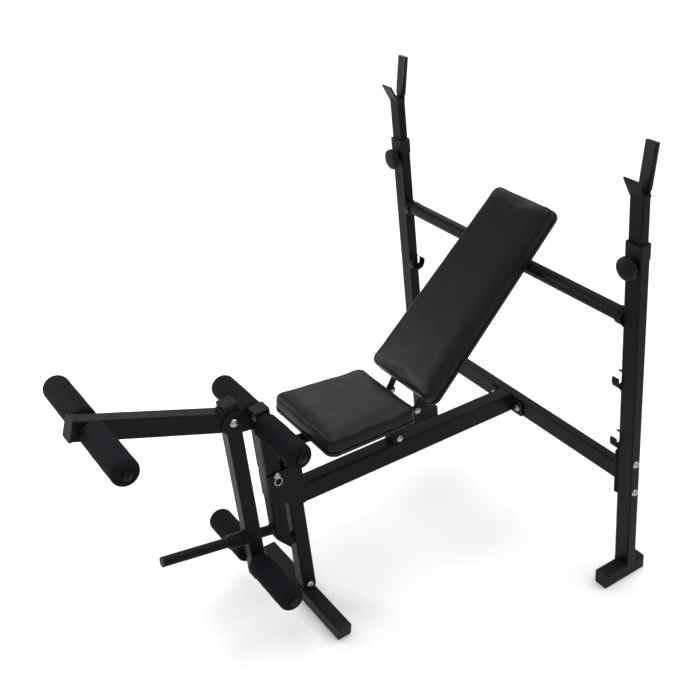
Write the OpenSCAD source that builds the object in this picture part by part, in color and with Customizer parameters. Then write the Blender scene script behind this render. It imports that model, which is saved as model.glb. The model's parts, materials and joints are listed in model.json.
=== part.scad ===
// Adjustable weight bench: rack, seat, backrest on a support bar, and a leg lever with foam rollers.
// X runs across the bench, +Y runs from the leg lever to the rack, Z is up. Millimetres.
// The origin is on the floor under the middle of the bench's outline.

/* [Rack] */
// Distance of the rack's plane behind the origin
rack_y = 551; // [530:1:570]
// Half the distance between the uprights' centres
rack_half = 440; // [400:5:480]
// Width of an upright tube, across the bench
upright_w = 46; // [44:1:50]
// Depth of an upright tube, along the bench
upright_d = 28; // [28:1:32]
// Height of the top of the upright tubes
upright_top = 935; // [900:5:980]
// Width of the inner telescoping tube
slide_w = 40; // [38:0.5:40]
// Depth of the inner telescoping tube
slide_d = 22; // [20:0.5:22]
// How far the inner tube stands out of the upright
slide_out = 112; // [105:1:130]
// Length of the inner telescoping tube
slide_len = 430; // [400:10:460]
// Height of the rear side of a barbell cradle
cradle_h = 108; // [100:1:115]
// Diameter of a height clamp knob
knob_d = 55; // [48:1:58]
// Height of the lower cross member's top face
cross_top = 339; // [330:1:345]

/* [Support bar] */
// Outer diameter of the backrest's support bar
bar_d = 36; // [32:0.5:38]
// Height of the bar in the top saddles
bar_z = 744; // [735:1:755]
// Spacing of the three saddles on each upright
saddle_step = 171; // [165:1:180]

/* [Beam and front leg] */
// Width of the main beam
beam_w = 42; // [40:1:44]
// Height of the main beam's section
beam_h = 55; // [50:1:58]
// Height of the beam's top face at the front leg
beam_front_z = 366; // [360:1:372]
// Height of the beam's top face at the cross member
beam_rear_z = 341; // [338:1:344]
// Side of the square tubes of the leg, post and lever
tube = 38; // [38:0.5:40]
// Distance of the front leg's centre from the origin, along Y
leg_y = -136; // [-140:1:-130]
// Half the length of the front foot
foot_half = 181; // [170:1:200]

/* [Leg lever] */
// Distance of the fixed post's centre from the origin, along Y
post_y = -185; // [-188:1:-184]
// Height of the fixed post's top
post_top = 605; // [600:1:610]
// Distance of the lever's pivot from the origin, along Y
pivot_y = -260; // [-263:1:-258]
// Height of the lever's pivot
pivot_z = 618; // [616:1:622]
// Rise of the lever's front arm over the horizontal, degrees
arm_tilt = 22; // [18:0.5:25]
// Length of the front arm from the pivot
arm_len = 376; // [360:1:390]
// Rise of the weight peg towards its tip, degrees
peg_tilt = 11.5; // [10:0.1:15]
// Diameter of the weight peg
peg_d = 25.4; // [25:0.1:28]
// Diameter of a foam roller
foam_d = 63; // [56:1:66]
// Distance of the arm rollers' outer ends from the middle
arm_foam_end = 209; // [200:1:210]
// Distance of the knee and ankle rollers' outer ends from the middle
foam_end = 194; // [188:1:200]

/* [Pads] */
// Width of the seat pad at the front
seat_w = 274; // [260:1:280]
// Width of the seat pad at the rear
seat_rear_w = 250; // [240:1:270]
// Length of the seat pad
seat_len = 258; // [250:1:262]
// Height of the seat's top face at its rear edge
seat_rear_z = 519; // [516:1:522]
// Slope of the seat, up to the front, degrees
seat_tilt = 5; // [4:0.5:6]
// Width of the backrest pad at the bottom
back_w = 253; // [240:1:260]
// Width of the backrest pad at the top
back_top_w = 217; // [205:1:240]
// Length of the backrest pad
back_len = 557; // [500:1:570]
// Distance of the backrest's hinge from the origin, along Y
hinge_y = 207; // [205:1:209]
// Height of the backrest's hinge
hinge_z = 459; // [457:1:460]

/* [Hidden] */
$fn = 48;

black = [0.09, 0.09, 0.085];
plastic = [0.05, 0.05, 0.055];
vinyl = [0.07, 0.065, 0.06];
foam = [0.06, 0.065, 0.075];
zinc = [0.72, 0.72, 0.70];
ply = [0.45, 0.34, 0.22];

wall = 2;
plate = 3;
fit = 0.3;
run = 0.05;
bend = 4;
foot_w = 38;
foot_h = 40;
foot_y0 = rack_y - 78;
foot_y1 = rack_y + 44;
cap_t = 4;
collar_h = 34;
collar_t = 1.8;
slide_z0 = upright_top + slide_out - slide_len;
slide_top = upright_top + slide_out;
cradle_t = 4;
cradle_back_w = 31;
guard_t = 11;
guard_up = 10;
knob_z = 886;
knob_t = 15;
knob_gap = 11;
screw_d = 10;
saddle_w = 20;
saddle_t = 4;
saddle_lip = 11;
cross_h = 50;
cross_d = 25;
end_plate_t = 6;
end_plate_z0 = 250;
end_plate_z1 = 376;
bolt_d = 8;
head_d = 19;
head_h = 6;
upright_bolt_z = [271, 356];
flange_w = 134;
flange_t = 5;
flange_bolt_x = 48;
gusset_top = 434;
gusset_lap = 6;
gusset_z0 = 325;
foot_z = 42;
front_foot_y = leg_y - 5;
leg_bolt_z = foot_z + 10;
beam_y0 = leg_y + tube / 2;
beam_y1 = rack_y - cross_d / 2 - flange_t;
beam_slope = atan((beam_rear_z - beam_front_z) / (beam_y1 - beam_y0));
lever_top = 655;
lever_bottom = 156;
cap_h = 10;
arm_h = 49;
pivot_r = 30;
pivot_bolt_d = 12;
bush_t = 2;
pin_z = 428;
pin_y = post_y + 6;
pin_d = 10;
rod_d = 16;
knee_z = 583;
rod_shift = -4;
knee_y = post_y + rod_shift;
ankle_y = pivot_y + rod_shift;
ankle_z = 204;
arm_drop = 2;
arm_rod_at = arm_len - 40;
foam_gap = 26;
rod_past = 2;
peg_z = 272;
peg_reach = 233;
peg_collar_d = 36;
peg_collar_l = 44;
pad_r = 24;
pad_t = 36;
board_t = 6;
board_in = 3;
tongue_t = 5;
rail_x = 65;
rail_w = 20;
rail_h = 16;
seat_rail_w = 32;
lug_t = 3;
back_rail_n = 6;
back_rail_h = 16;
back_u0 = 31;
back_dy = rack_y - hinge_y;
back_dz = bar_z - hinge_z;
back_reach = norm([back_dy, back_dz]);
back_drop = back_rail_n - bar_d / 2 - fit;
back_angle = atan2(back_dz, back_dy) - asin(back_drop / back_reach);
seat_y1 = 171;
bracket_y = 173;
bracket_z = 367;
bracket_r = 11;
sides = [-1, 1];

// Rectangle with round corners, centred
module round_rect(w, d, r) {
  square([w - 2 * r, d], center = true);
  square([w, d - 2 * r], center = true);
  for (sx = sides, sy = sides) translate([sx * (w / 2 - r), sy * (d / 2 - r)]) circle(r);
}

// Symmetric plan that tapers from width w0 at y = 0 to w1 at y = d, with round corners
module taper_rect(w0, w1, d, r) {
  a0 = w0 / 2 - r;
  a1 = w1 / 2 - r;
  lean = atan((a0 - a1) / (d - 2 * r));
  n = r * [cos(lean), sin(lean)];
  right = [[a0, 0], [a0 + n[0], r + n[1]], [a1 + n[0], d - r + n[1]], [a1, d]];
  polygon(concat(right, [for (i = [3:-1:0]) [-right[i][0], right[i][1]]]));
  for (s = sides) {
    translate([s * a0, r]) circle(r);
    translate([s * a1, d - r]) circle(r);
  }
}

// Plan of the board under a pad, a little smaller than the pad all round
module inset_taper(w0, w1, d) {
  taper_rect(w0 - 2 * board_in, w1 - 2 * board_in, d - 2 * board_in, pad_r - board_in);
}

// Hollow rectangular tube along Z
module box_tube(w, d, l, t = wall, r = bend) {
  linear_extrude(l) difference() {
    round_rect(w, d, r);
    round_rect(w - 2 * t, d - 2 * t, r - t + 0.5);
  }
}

// Solid bar with round corners along Z
module round_bar(w, d, l, r = bend) {
  linear_extrude(l) round_rect(w, d, r);
}

// Turns a shape drawn along Z to run along +X or +Y
module along_x() { rotate([0, 90, 0]) children(); }
module along_y() { rotate([-90, 0, 0]) children(); }

// Cylinder across the bench from x0 to x1
module cross_pin(d, x0, x1) {
  translate([x0, 0, 0]) along_x() cylinder(d = d, h = x1 - x0);
}

// Domed bolt head with its flat face at the origin, facing +Z
module dome_head(d = head_d, h = head_h) {
  r = (d * d / 4 + h * h) / (2 * h);
  intersection() {
    translate([0, 0, h - r]) sphere(r);
    cylinder(d = d, h = h);
  }
}

module hex_nut(d = 15, h = 6.5) {
  cylinder(d = d, h = h, $fn = 6);
}

// Bolt along Z: head above the plane z = 0, shank down to -l, nut with its outer face at the end
module bolt(l, d = bolt_d) {
  dome_head();
  translate([0, 0, -l]) cylinder(d = d, h = l);
  translate([0, 0, -l + 3]) hex_nut();
}

function unit(v) = v / norm(v);
function left_of(v) = [-v[1], v[0]];
function joint_normal(a, b) = (a + b) / (1 + a * b);

// Band of thickness t along a path of points, with mitred corners and square ends
module band(p, t) {
  last = len(p) - 1;
  n = [for (i = [0:last - 1]) left_of(unit(p[i + 1] - p[i]))];
  m = [for (i = [0:last]) i == 0 ? n[0] : i == last ? n[last - 1] : joint_normal(n[i - 1], n[i])];
  polygon(concat([for (i = [0:last]) p[i] + t / 2 * m[i]], [for (i = [last:-1:0]) p[i] - t / 2 * m[i]]));
}

// Draws a profile given in Y and Z and extrudes it across the bench, centred, w wide
module across(w) {
  rotate([90, 0, 90]) translate([0, 0, -w / 2]) linear_extrude(w) children();
}

// ---- Rack ----

module upright(s) {
  color(black) translate([s * rack_half, rack_y, foot_h]) difference() {
    box_tube(upright_w, upright_d, upright_top - foot_h - fit);
    for (z = upright_bolt_z)
      translate([0, 0, z - foot_h]) cross_pin(bolt_d, -upright_w, upright_w);
    translate([0, 0, knob_z - foot_h]) rotate([90, 0, 0]) cylinder(d = screw_d, h = upright_d);
  }
}
module left_upright() { upright(-1); }
module right_upright() { upright(1); }

module rear_foot(s) {
  color(black) translate([s * rack_half, foot_y0, foot_h / 2]) along_y()
    box_tube(foot_w, foot_h, foot_y1 - foot_y0);
}
module left_rear_foot() { rear_foot(-1); }
module right_rear_foot() { rear_foot(1); }

// Plastic plug for an open tube end: a flat head and a spigot inside the tube, pointing +Z
module tube_plug(w, d, t = cap_t) {
  translate([0, 0, -12]) round_bar(w - 2 * wall, d - 2 * wall, 12, bend - wall + 0.5);
  round_bar(w, d, t);
}

module rear_foot_caps() {
  for (s = sides) color(plastic) translate([s * rack_half, 0, foot_h / 2]) {
    translate([0, foot_y1, 0]) along_y() tube_plug(foot_w, foot_h);
    translate([0, foot_y0, 0]) rotate([90, 0, 0]) tube_plug(foot_w, foot_h);
  }
}

// One saddle: a strip bent into a cup for the bar, with a taller lip in front
module saddle() {
  inner = bar_d / 2 + fit;
  r = inner + saddle_t;
  across(saddle_w) difference() {
    union() {
      circle(r);
      translate([-r, 0]) square([2 * r, saddle_lip]);
    }
    circle(inner);
    translate([-inner, 0]) square([2 * inner, 2 * saddle_lip]);
    translate([0, 0.6 * saddle_lip]) square([2 * r, saddle_lip]);
  }
}

module saddles(s) {
  x = s * (rack_half - upright_w / 2 - saddle_w / 2);
  color(black) for (i = [0:2])
    translate([x, rack_y, bar_z - i * saddle_step]) saddle();
}
module left_saddles() { saddles(-1); }
module right_saddles() { saddles(1); }

// Plastic sleeve over the upright's mouth, guiding the inner tube
module collar(s) {
  color(plastic) translate([s * rack_half, rack_y, 0]) difference() {
    translate([0, 0, upright_top - collar_h])
      round_bar(upright_w + 2 * collar_t, upright_d + 2 * collar_t, collar_h + 3, bend + 1);
    translate([0, 0, upright_top - collar_h - 1])
      round_bar(upright_w + 2 * run, upright_d + 2 * run, collar_h + 1, bend);
    round_bar(slide_w + 2 * fit, slide_d + 2 * fit, 2 * upright_top, 3);
  }
}
module left_collar() { collar(-1); }
module right_collar() { collar(1); }

module slide_tube(s) {
  color(black) translate([s * rack_half, rack_y, slide_z0]) box_tube(slide_w, slide_d, slide_len, 1.8, 3);
}
module left_slide_tube() { slide_tube(-1); }
module right_slide_tube() { slide_tube(1); }

// Cradle profile in Y and Z: flared front lip, flat bottom, tall rear side that leans back
cradle_points = [[-30, 43], [-11, 2], [11, 2], [11 + cradle_h * 0.165, cradle_h]];

module cradle(s) {
  color(black) translate([s * rack_half, rack_y, slide_top]) {
    across(slide_w) band([cradle_points[0], cradle_points[1], cradle_points[2]], cradle_t);
    across(cradle_back_w) band([cradle_points[2], cradle_points[3]], cradle_t);
  }
}
module left_cradle() { cradle(-1); }
module right_cradle() { cradle(1); }

// Plastic sleeve that covers the cradle's rear side
module cradle_guard(s) {
  a = cradle_points[2];
  b = cradle_points[3];
  lean = atan2(b[0] - a[0], b[1] - a[1]);
  color(plastic) translate([s * rack_half, rack_y, slide_top]) difference() {
    translate([0, a[0], a[1]]) rotate([-lean, 0, 0]) translate([0, 0, guard_up])
      round_bar(cradle_back_w + 5, guard_t, norm(b - a) - guard_up + 1.5, guard_t / 2 - 0.1);
    across(cradle_back_w + 2 * run) band([a, b], cradle_t + 2 * run);
  }
}
module left_cradle_guard() { cradle_guard(-1); }
module right_cradle_guard() { cradle_guard(1); }

knob_y = rack_y - upright_d / 2 - knob_gap;

// Round knob with shallow finger grooves, its back face at the origin, facing +Z
module knob_head() {
  r = knob_d / 2;
  difference() {
    union() {
      rotate_extrude() polygon([[0, 0], [r - 3, 0], [r, 3], [r, knob_t - 5], [r - 1.5, knob_t - 2],
        [r - 5, knob_t], [r - 10, knob_t + 2], [0, knob_t + 3.5]]);
      translate([0, 0, -8]) cylinder(d = 26, h = 8);
    }
    for (i = [0:7]) rotate(45 * i) translate([r + 6, 0, -1]) cylinder(d = 16, h = knob_t + 5);
    translate([0, 0, -9]) cylinder(d = screw_d - 2 * run, h = 18);
  }
}

module knob(s) {
  color(plastic) translate([s * rack_half, knob_y, knob_z]) rotate([90, 0, 0]) knob_head();
}
module left_knob() { knob(-1); }
module right_knob() { knob(1); }

module knob_screw(s) {
  tip = upright_d / 2 - slide_d / 2 - fit;
  color(zinc) translate([s * rack_half, knob_y - 9, knob_z])
    along_y() cylinder(d = screw_d - 2 * run, h = 9 + knob_gap + tip);
}
module left_knob_screw() { knob_screw(-1); }
module right_knob_screw() { knob_screw(1); }

inner_face = rack_half - upright_w / 2;

module cross_member() {
  half = inner_face - end_plate_t;
  color(black) translate([0, rack_y, 0]) difference() {
    union() {
      translate([-half, 0, cross_top - cross_h / 2]) along_x() box_tube(cross_h, cross_d, 2 * half);
      for (s = sides) translate([s * (inner_face - end_plate_t / 2), 0, end_plate_z0])
        round_bar(end_plate_t, upright_d, end_plate_z1 - end_plate_z0, 1);
    }
    for (s = sides, z = upright_bolt_z)
      translate([s * inner_face, 0, z]) cross_pin(bolt_d, -20, 20);
    for (s = sides) translate([s * flange_bolt_x, 0, flange_bolt_z]) rotate([90, 0, 0])
      cylinder(d = bolt_d, h = 2 * cross_d, center = true);
  }
}

module cross_bolts() {
  for (s = sides, z = upright_bolt_z)
    color(zinc) translate([s * (rack_half + upright_w / 2), rack_y, z]) rotate([0, s * 90, 0])
      bolt(upright_w + end_plate_t + 10, bolt_d - 2 * run);
}

// ---- Beam and front leg ----

flange_bolt_z = cross_top - cross_h / 2 - 4;

module main_beam() {
  run_y = beam_y1 - beam_y0;
  color(black) difference() {
    union() {
      intersection() {
        translate([0, beam_y0, beam_front_z - beam_h / 2]) rotate([beam_slope, 0, 0])
          translate([0, -20, 0]) along_y() box_tube(beam_w, beam_h, run_y + 40);
        translate([-beam_w, beam_y0, 0]) cube([2 * beam_w, run_y, 2 * beam_front_z]);
      }
      translate([0, beam_y1 + flange_t / 2, flange_bolt_z]) rotate([90, 0, 0])
        translate([0, 0, -flange_t / 2]) round_bar(flange_w, 40, flange_t, 5);
    }
    for (s = sides) translate([s * flange_bolt_x, beam_y1, flange_bolt_z]) rotate([90, 0, 0])
      cylinder(d = bolt_d, h = 40, center = true);
  }
  // Upstand on the beam that the seat's rear bracket is bolted to
  color(black) difference() {
    translate([-tube / 2, bracket_y - 18, beam_top(bracket_y + 18)])
      cube([tube, 36, bracket_z + 12 - beam_top(bracket_y + 18)]);
    translate([0, bracket_y, bracket_z]) cross_pin(bolt_d, -tube, tube);
  }
}

module beam_bolts() {
  for (s = sides) color(zinc) translate([s * flange_bolt_x, beam_y1, flange_bolt_z]) rotate([90, 0, 0])
    bolt(flange_t + cross_d + 10, bolt_d - 2 * run);
}

module front_leg() {
  color(black) difference() {
    translate([0, leg_y, foot_z]) box_tube(tube, tube, seat_rear_z);
    translate([0, leg_y, leg_bolt_z]) cross_pin(bolt_d, -tube, tube);
    seat_place() translate([-tube, -3 * seat_len, tongue_n - tongue_t])
      cube([2 * tube, 4 * seat_len, seat_len]);
  }
}

module front_foot() {
  color(black) translate([-foot_half, front_foot_y, foot_z / 2]) along_x() box_tube(foot_z, tube, 2 * foot_half);
  for (s = sides) color(black) difference() {
    translate([s * (tube / 2 + plate / 2) - plate / 2, leg_y - 14, foot_z]) cube([plate, 28, 24]);
    translate([s * tube / 2, leg_y, leg_bolt_z]) cross_pin(bolt_d, -10, 10);
  }
}

// End caps of the front foot, with their outer faces cut back towards the top
module front_foot_caps() {
  for (s = sides) color(plastic) translate([s * foot_half, front_foot_y, foot_z / 2]) rotate([0, s * 90, 0])
    difference() {
      tube_plug(foot_z, tube, 12);
      translate([-s * foot_z / 2, 0, 12]) rotate([0, s * 14, 0])
        translate([-foot_z, -tube, 0]) cube([2 * foot_z + 60, 2 * tube, 40]);
    }
}

module leg_bolt() {
  reach = tube / 2 + plate;
  color(zinc) translate([reach, leg_y, leg_bolt_z]) rotate([0, 90, 0])
    bolt(2 * reach + 10, bolt_d - 2 * run);
}

gusset_x = beam_w / 2;

// Side plates that tie the fixed post and the front leg to the beam
module gusset_plates() {
  front = post_y - tube / 2 + 1;
  back = leg_y + tube / 2 + gusset_lap;
  color(black) for (s = sides) difference() {
    translate([s * (gusset_x + plate / 2), 0, 0]) across(plate) polygon([
      [front, gusset_z0 + 31], [front, gusset_top], [back, gusset_top], [back, gusset_z0],
      [leg_y - 4, gusset_z0]]);
    translate([s * gusset_x, pin_y, pin_z]) cross_pin(pin_d + 2 * run, -10, 10);
  }
  // Packing strips that fill the gap between the narrower leg and the plates
  pack_t = gusset_x - tube / 2;
  color(black) for (s = sides) translate([s * (tube / 2 + pack_t / 2), leg_y, gusset_z0 + 5])
    translate([-pack_t / 2, -tube / 2 + 4, 0]) cube([pack_t, tube - 8, gusset_top - gusset_z0 - 9]);
}

// Rubber block that keeps the fixed post off the leg
module post_spacer() {
  gap = (leg_y - tube / 2) - (post_y + tube / 2);
  color(plastic) translate([-11, post_y + tube / 2, 196]) cube([22, gap, 22]);
}

// ---- Leg lever ----

module developer_post() {
  color(black) difference() {
    translate([0, post_y, 190]) box_tube(tube, tube, post_top - 190);
    translate([0, post_y + tube / 2, 190]) rotate([-52, 0, 0]) translate([-tube, -3 * tube, -2 * tube])
      cube([2 * tube, 6 * tube, 2 * tube]);
    translate([0, knee_y, knee_z]) cross_pin(rod_d + 2 * run, -tube, tube);
    translate([0, pin_y, pin_z]) cross_pin(pin_d + 2 * run, -tube, tube);
  }
}

module post_cap() {
  color(plastic) translate([0, post_y, post_top]) tube_plug(tube, tube, cap_h);
}

plate_x = tube / 2 + 0.4;

// Side plates that carry the lever's pivot bolt in front of the fixed post
module pivot_plates() {
  back = post_y + tube / 2;
  front = post_y - tube / 2;
  top = knee_z + 14;
  for (s = sides) color(black) difference() {
    translate([s * (plate_x + plate / 2), 0, 0]) across(plate) {
      translate([pivot_y, pivot_z]) circle(pivot_r);
      polygon([[pivot_y, pivot_z + pivot_r], [pivot_y + 0.64 * pivot_r, pivot_z + 0.77 * pivot_r],
        [front - 4, top], [back, top], [back, gusset_top + 6], [front, gusset_top + 6],
        [front, pivot_z - pivot_r - 8], [pivot_y, pivot_z - pivot_r]]);
    }
    translate([s * plate_x, pivot_y, pivot_z]) cross_pin(pivot_bolt_d + 2 * run, -20, 20);
    translate([s * plate_x, knee_y, knee_z]) cross_pin(rod_d + 2 * run, -20, 20);
  }
}

module pivot_bolt() {
  x = plate_x + plate;
  color(zinc) translate([0, pivot_y, pivot_z]) {
    translate([x, 0, 0]) rotate([0, 90, 0]) dome_head(22, 7);
    cross_pin(pivot_bolt_d, -x - 12, x);
    translate([-x, 0, 0]) rotate([0, -90, 0]) hex_nut(20, 9);
  }
}

// Plastic bearing tube in the lever, turning on the pivot bolt
module pivot_bush() {
  color("white") translate([0, pivot_y, pivot_z]) difference() {
    cross_pin(pivot_bolt_d + 2 * bush_t, -tube / 2, tube / 2);
    cross_pin(pivot_bolt_d + 2 * run, -tube, tube);
  }
}

// Locking pin with a pull ring, held through the gusset plates and the fixed post
module lock_pin() {
  x = gusset_x + plate;
  color(zinc) translate([0, pin_y, pin_z]) {
    cross_pin(pin_d, -x - 6, x + 1);
    translate([x + 1, 0, 0]) rotate([0, 90, 0]) dome_head(18, 7);
    translate([x + 4, 0, -15]) rotate([0, 90, 0]) rotate_extrude() translate([10, 0]) circle(d = 3);
  }
}

module lever_post() {
  color(black) difference() {
    translate([0, pivot_y, lever_bottom]) box_tube(tube, tube, lever_top - lever_bottom);
    translate([0, pivot_y, pivot_z]) cross_pin(pivot_bolt_d + 2 * bush_t, -tube, tube);
    translate([0, ankle_y, ankle_z]) cross_pin(rod_d + 2 * run, -tube, tube);
    translate([0, pivot_y, peg_z]) peg_axis() cylinder(d = peg_d + 2 * run, h = 3 * tube, center = true);
  }
}

module lever_cap() {
  color(plastic) translate([0, pivot_y, lever_top]) tube_plug(tube, tube, cap_h);
  color(plastic) translate([0, pivot_y, lever_bottom]) rotate([180, 0, 0]) tube_plug(tube, tube);
}

// Places a shape drawn along +Z on the arm's axis, which rises towards the front
module arm_axis() {
  translate([0, pivot_y, pivot_z - arm_drop]) rotate([90 - arm_tilt, 0, 0]) children();
}

module lever_arm() {
  color(black) difference() {
    arm_axis() box_tube(tube, arm_h, arm_len);
    translate([-tube, pivot_y - tube / 2, 0]) cube([2 * tube, 4 * tube, 2 * pivot_z]);
    arm_axis() translate([0, 0, arm_rod_at]) cross_pin(rod_d + 2 * run, -tube, tube);
  }
}

module arm_cap() {
  color(plastic) arm_axis() translate([0, 0, arm_len]) {
    translate([0, 0, -12]) round_bar(tube - 2 * wall, arm_h - 2 * wall, 12, bend - wall + 0.5);
    round_bar(tube + 3, arm_h + 3, 6, bend + 1);
  }
}

// Places a shape drawn along +Z on the weight peg's axis, which rises towards the front
module peg_axis() {
  rotate([90 - peg_tilt, 0, 0]) children();
}

stop_t = 3;
peg_end_gap = stop_t + fit + peg_d / 2 * sin(peg_tilt);
peg_back = (pivot_y - (post_y - tube / 2) + peg_end_gap) / cos(peg_tilt);

module weight_peg() {
  color(black) translate([0, pivot_y, peg_z]) {
    difference() {
      peg_axis() translate([0, 0, peg_back]) cylinder(d = peg_d, h = peg_reach - peg_back);
      peg_axis() translate([0, 0, peg_reach - 20]) cylinder(d = peg_d - 6, h = 30);
    }
    difference() {
      peg_axis() translate([0, 0, 4]) cylinder(d = peg_collar_d, h = tube / 2 + peg_collar_l - 4);
      peg_axis() cylinder(d = peg_d, h = 200);
      translate([-tube, -tube / 2, -tube]) cube([2 * tube, tube, 3 * tube]);
    }
  }
}

module peg_cap() {
  color(plastic) translate([0, pivot_y, peg_z]) peg_axis() translate([0, 0, peg_reach]) {
    cylinder(d = peg_d, h = 3);
    translate([0, 0, -18]) cylinder(d = peg_d - 6, h = 18);
  }
}

// Rubber pad on the fixed post that the peg's rear end rests against
module stop_pad() {
  color(plastic) translate([0, post_y - tube / 2, peg_z - 12]) rotate([90, 0, 0]) cylinder(d = 32, h = stop_t);
}

// Rod for a pair of foam rollers, with a button cap on each end
module roller_rod(end = foam_end) {
  reach = end + rod_past;
  color(black) cross_pin(rod_d, -reach, reach);
  for (s = sides) color(plastic) translate([s * reach, 0, 0]) rotate([0, s * 90, 0]) dome_head(24, 4);
}

module roller_rods() {
  translate([0, knee_y, knee_z]) roller_rod();
}

arm_rod_y = pivot_y - cos(arm_tilt) * arm_rod_at;
arm_rod_z = pivot_z - arm_drop + sin(arm_tilt) * arm_rod_at;

module lever_rods() {
  translate([0, arm_rod_y, arm_rod_z]) roller_rod(arm_foam_end);
  translate([0, ankle_y, ankle_z]) roller_rod();
}

// Foam roller on the given side, with a bore for its rod and rounded ends
module foam_roller(s, end = foam_end) {
  len = end - foam_gap;
  r = 16;
  color(foam) rotate([0, s * 90, 0]) translate([0, 0, foam_gap]) difference() {
    union() {
      translate([0, 0, 6]) cylinder(d = foam_d, h = len - r - 6);
      cylinder(d = foam_d - 12, h = len);
      translate([0, 0, 6]) rotate_extrude() translate([foam_d / 2 - 6, 0]) circle(6);
      intersection() {
        translate([0, 0, len - r]) rotate_extrude() translate([foam_d / 2 - r, 0]) circle(r);
        translate([0, 0, len - r]) cylinder(d = foam_d + 1, h = r);
      }
    }
    translate([0, 0, -1]) cylinder(d = rod_d + 2 * run, h = len + 2);
  }
}
module knee_foam_left() { translate([0, knee_y, knee_z]) foam_roller(-1); }
module knee_foam_right() { translate([0, knee_y, knee_z]) foam_roller(1); }
module arm_foam_left() { translate([0, arm_rod_y, arm_rod_z]) foam_roller(-1, arm_foam_end); }
module arm_foam_right() { translate([0, arm_rod_y, arm_rod_z]) foam_roller(1, arm_foam_end); }
module ankle_foam_left() { translate([0, ankle_y, ankle_z]) foam_roller(-1); }
module ankle_foam_right() { translate([0, ankle_y, ankle_z]) foam_roller(1); }

// ---- Support bar ----

module support_bar() {
  half = inner_face - 2;
  color(black) translate([0, rack_y, bar_z]) {
    difference() {
      cross_pin(bar_d, -half, half);
      cross_pin(bar_d - 2 * wall, -2 * half, 2 * half);
    }
    for (s = sides) translate([s * (half - 6), 0, 0]) cross_pin(bar_d - 2 * wall, -6, 6);
  }
}

// ---- Seat ----

// Places a shape drawn in the seat's own frame: origin at the rear edge of the top face
module seat_place() {
  translate([0, seat_y1, seat_rear_z]) rotate([-seat_tilt, 0, 0]) children();
}

module seat_pad() {
  color(vinyl) seat_place() translate([0, -seat_len, -pad_t])
    linear_extrude(pad_t) taper_rect(seat_w, seat_rear_w, seat_len, pad_r);
}

seat_board_z = -pad_t - board_t;

// Board, two rails and hinge lugs under the seat pad
rail_in = rail_x - rail_w / 2;
hinge_r = 14;
lug_y0 = seat_y1 - 34;
lug_y1 = bracket_y - 3;

module seat_frame() {
  color(ply) seat_place() translate([0, -seat_len + board_in, seat_board_z])
    linear_extrude(board_t - fit)
      inset_taper(seat_w, seat_rear_w, seat_len);
  color(black) for (s = sides) {
    seat_place() translate([s > 0 ? rail_in : -rail_in - seat_rail_w, -seat_len + 22, tongue_n])
      cube([seat_rail_w, seat_len - 26, rail_h]);
    difference() {
      translate([s * (rail_in + lug_t / 2), 0, 0]) across(lug_t) {
        translate([hinge_y, hinge_z]) circle(hinge_r);
        polygon([[hinge_y, hinge_z - hinge_r], [hinge_y, hinge_z + hinge_r],
          [lug_y0, seat_under(lug_y0) + 8], [lug_y0, seat_under(lug_y0)], [lug_y1, seat_under(lug_y1)]]);
      }
      translate([s * rail_x, hinge_y, hinge_z]) cross_pin(bolt_d, -rail_w, rail_w);
    }
  }
}

tongue_n = seat_board_z - rail_h;
tongue_back = -seat_len + 70;
function beam_top(y) = beam_front_z + (y - beam_y0) * tan(beam_slope);
function seat_under(y) = seat_rear_z + (seat_y1 - y) * tan(seat_tilt) + tongue_n / cos(seat_tilt);

// Plates that carry the seat: a tongue on the leg's top and a bracket bolted to the beam's upstand
module seat_bracket() {
  color(black) seat_place() {
    translate([-tube / 2, leg_y - tube / 2 - seat_y1 - 2, tongue_n - tongue_t])
      cube([tube, tongue_back - (leg_y - tube / 2 - seat_y1 - 2), tongue_t]);
    translate([-rail_x - rail_w / 2, tongue_back - 36, tongue_n - tongue_t])
      cube([2 * rail_x + rail_w, 36, tongue_t]);
  }
  y0 = bracket_y - 34;
  y1 = bracket_y - 4;
  color(black) for (s = sides) difference() {
    translate([s * (tube / 2 + fit + plate / 2), 0, 0]) across(plate) {
      translate([bracket_y, bracket_z]) circle(bracket_r);
      polygon([[bracket_y - bracket_r, bracket_z], [bracket_y + bracket_r, bracket_z],
        [y1, seat_under(y1) - plate], [y0, seat_under(y0) - plate]]);
    }
    translate([s * tube / 2, bracket_y, bracket_z]) cross_pin(bolt_d, -10, 10);
  }
  color(black) across(2 * rail_x + rail_w) polygon([[y0, seat_under(y0) - plate],
    [y1, seat_under(y1) - plate], [y1, seat_under(y1)], [y0, seat_under(y0)]]);
}

module seat_bolt() {
  reach = tube / 2 + fit + plate;
  color(zinc) translate([reach, bracket_y, bracket_z]) rotate([0, 90, 0])
    bolt(2 * reach + 10, bolt_d - 2 * run);
}

// ---- Backrest ----

// Places a shape drawn in the backrest's own frame: Y runs up along it, Z out of its face
module back_place() {
  translate([0, hinge_y, hinge_z]) rotate([back_angle, 0, 0]) children();
}

back_board_n = back_rail_n + back_rail_h;
back_pad_n = back_board_n + board_t;
back_pad_t = 34;

module back_pad() {
  color(vinyl) back_place() translate([0, back_u0, back_pad_n + fit])
    linear_extrude(back_pad_t) taper_rect(back_w, back_top_w, back_len, pad_r);
}

module back_board() {
  color(ply) back_place() translate([0, back_u0 + board_in, back_board_n])
    linear_extrude(board_t)
      inset_taper(back_w, back_top_w, back_len);
}

lug_x = rail_x - rail_w / 2 + lug_t + 0.4;

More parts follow.
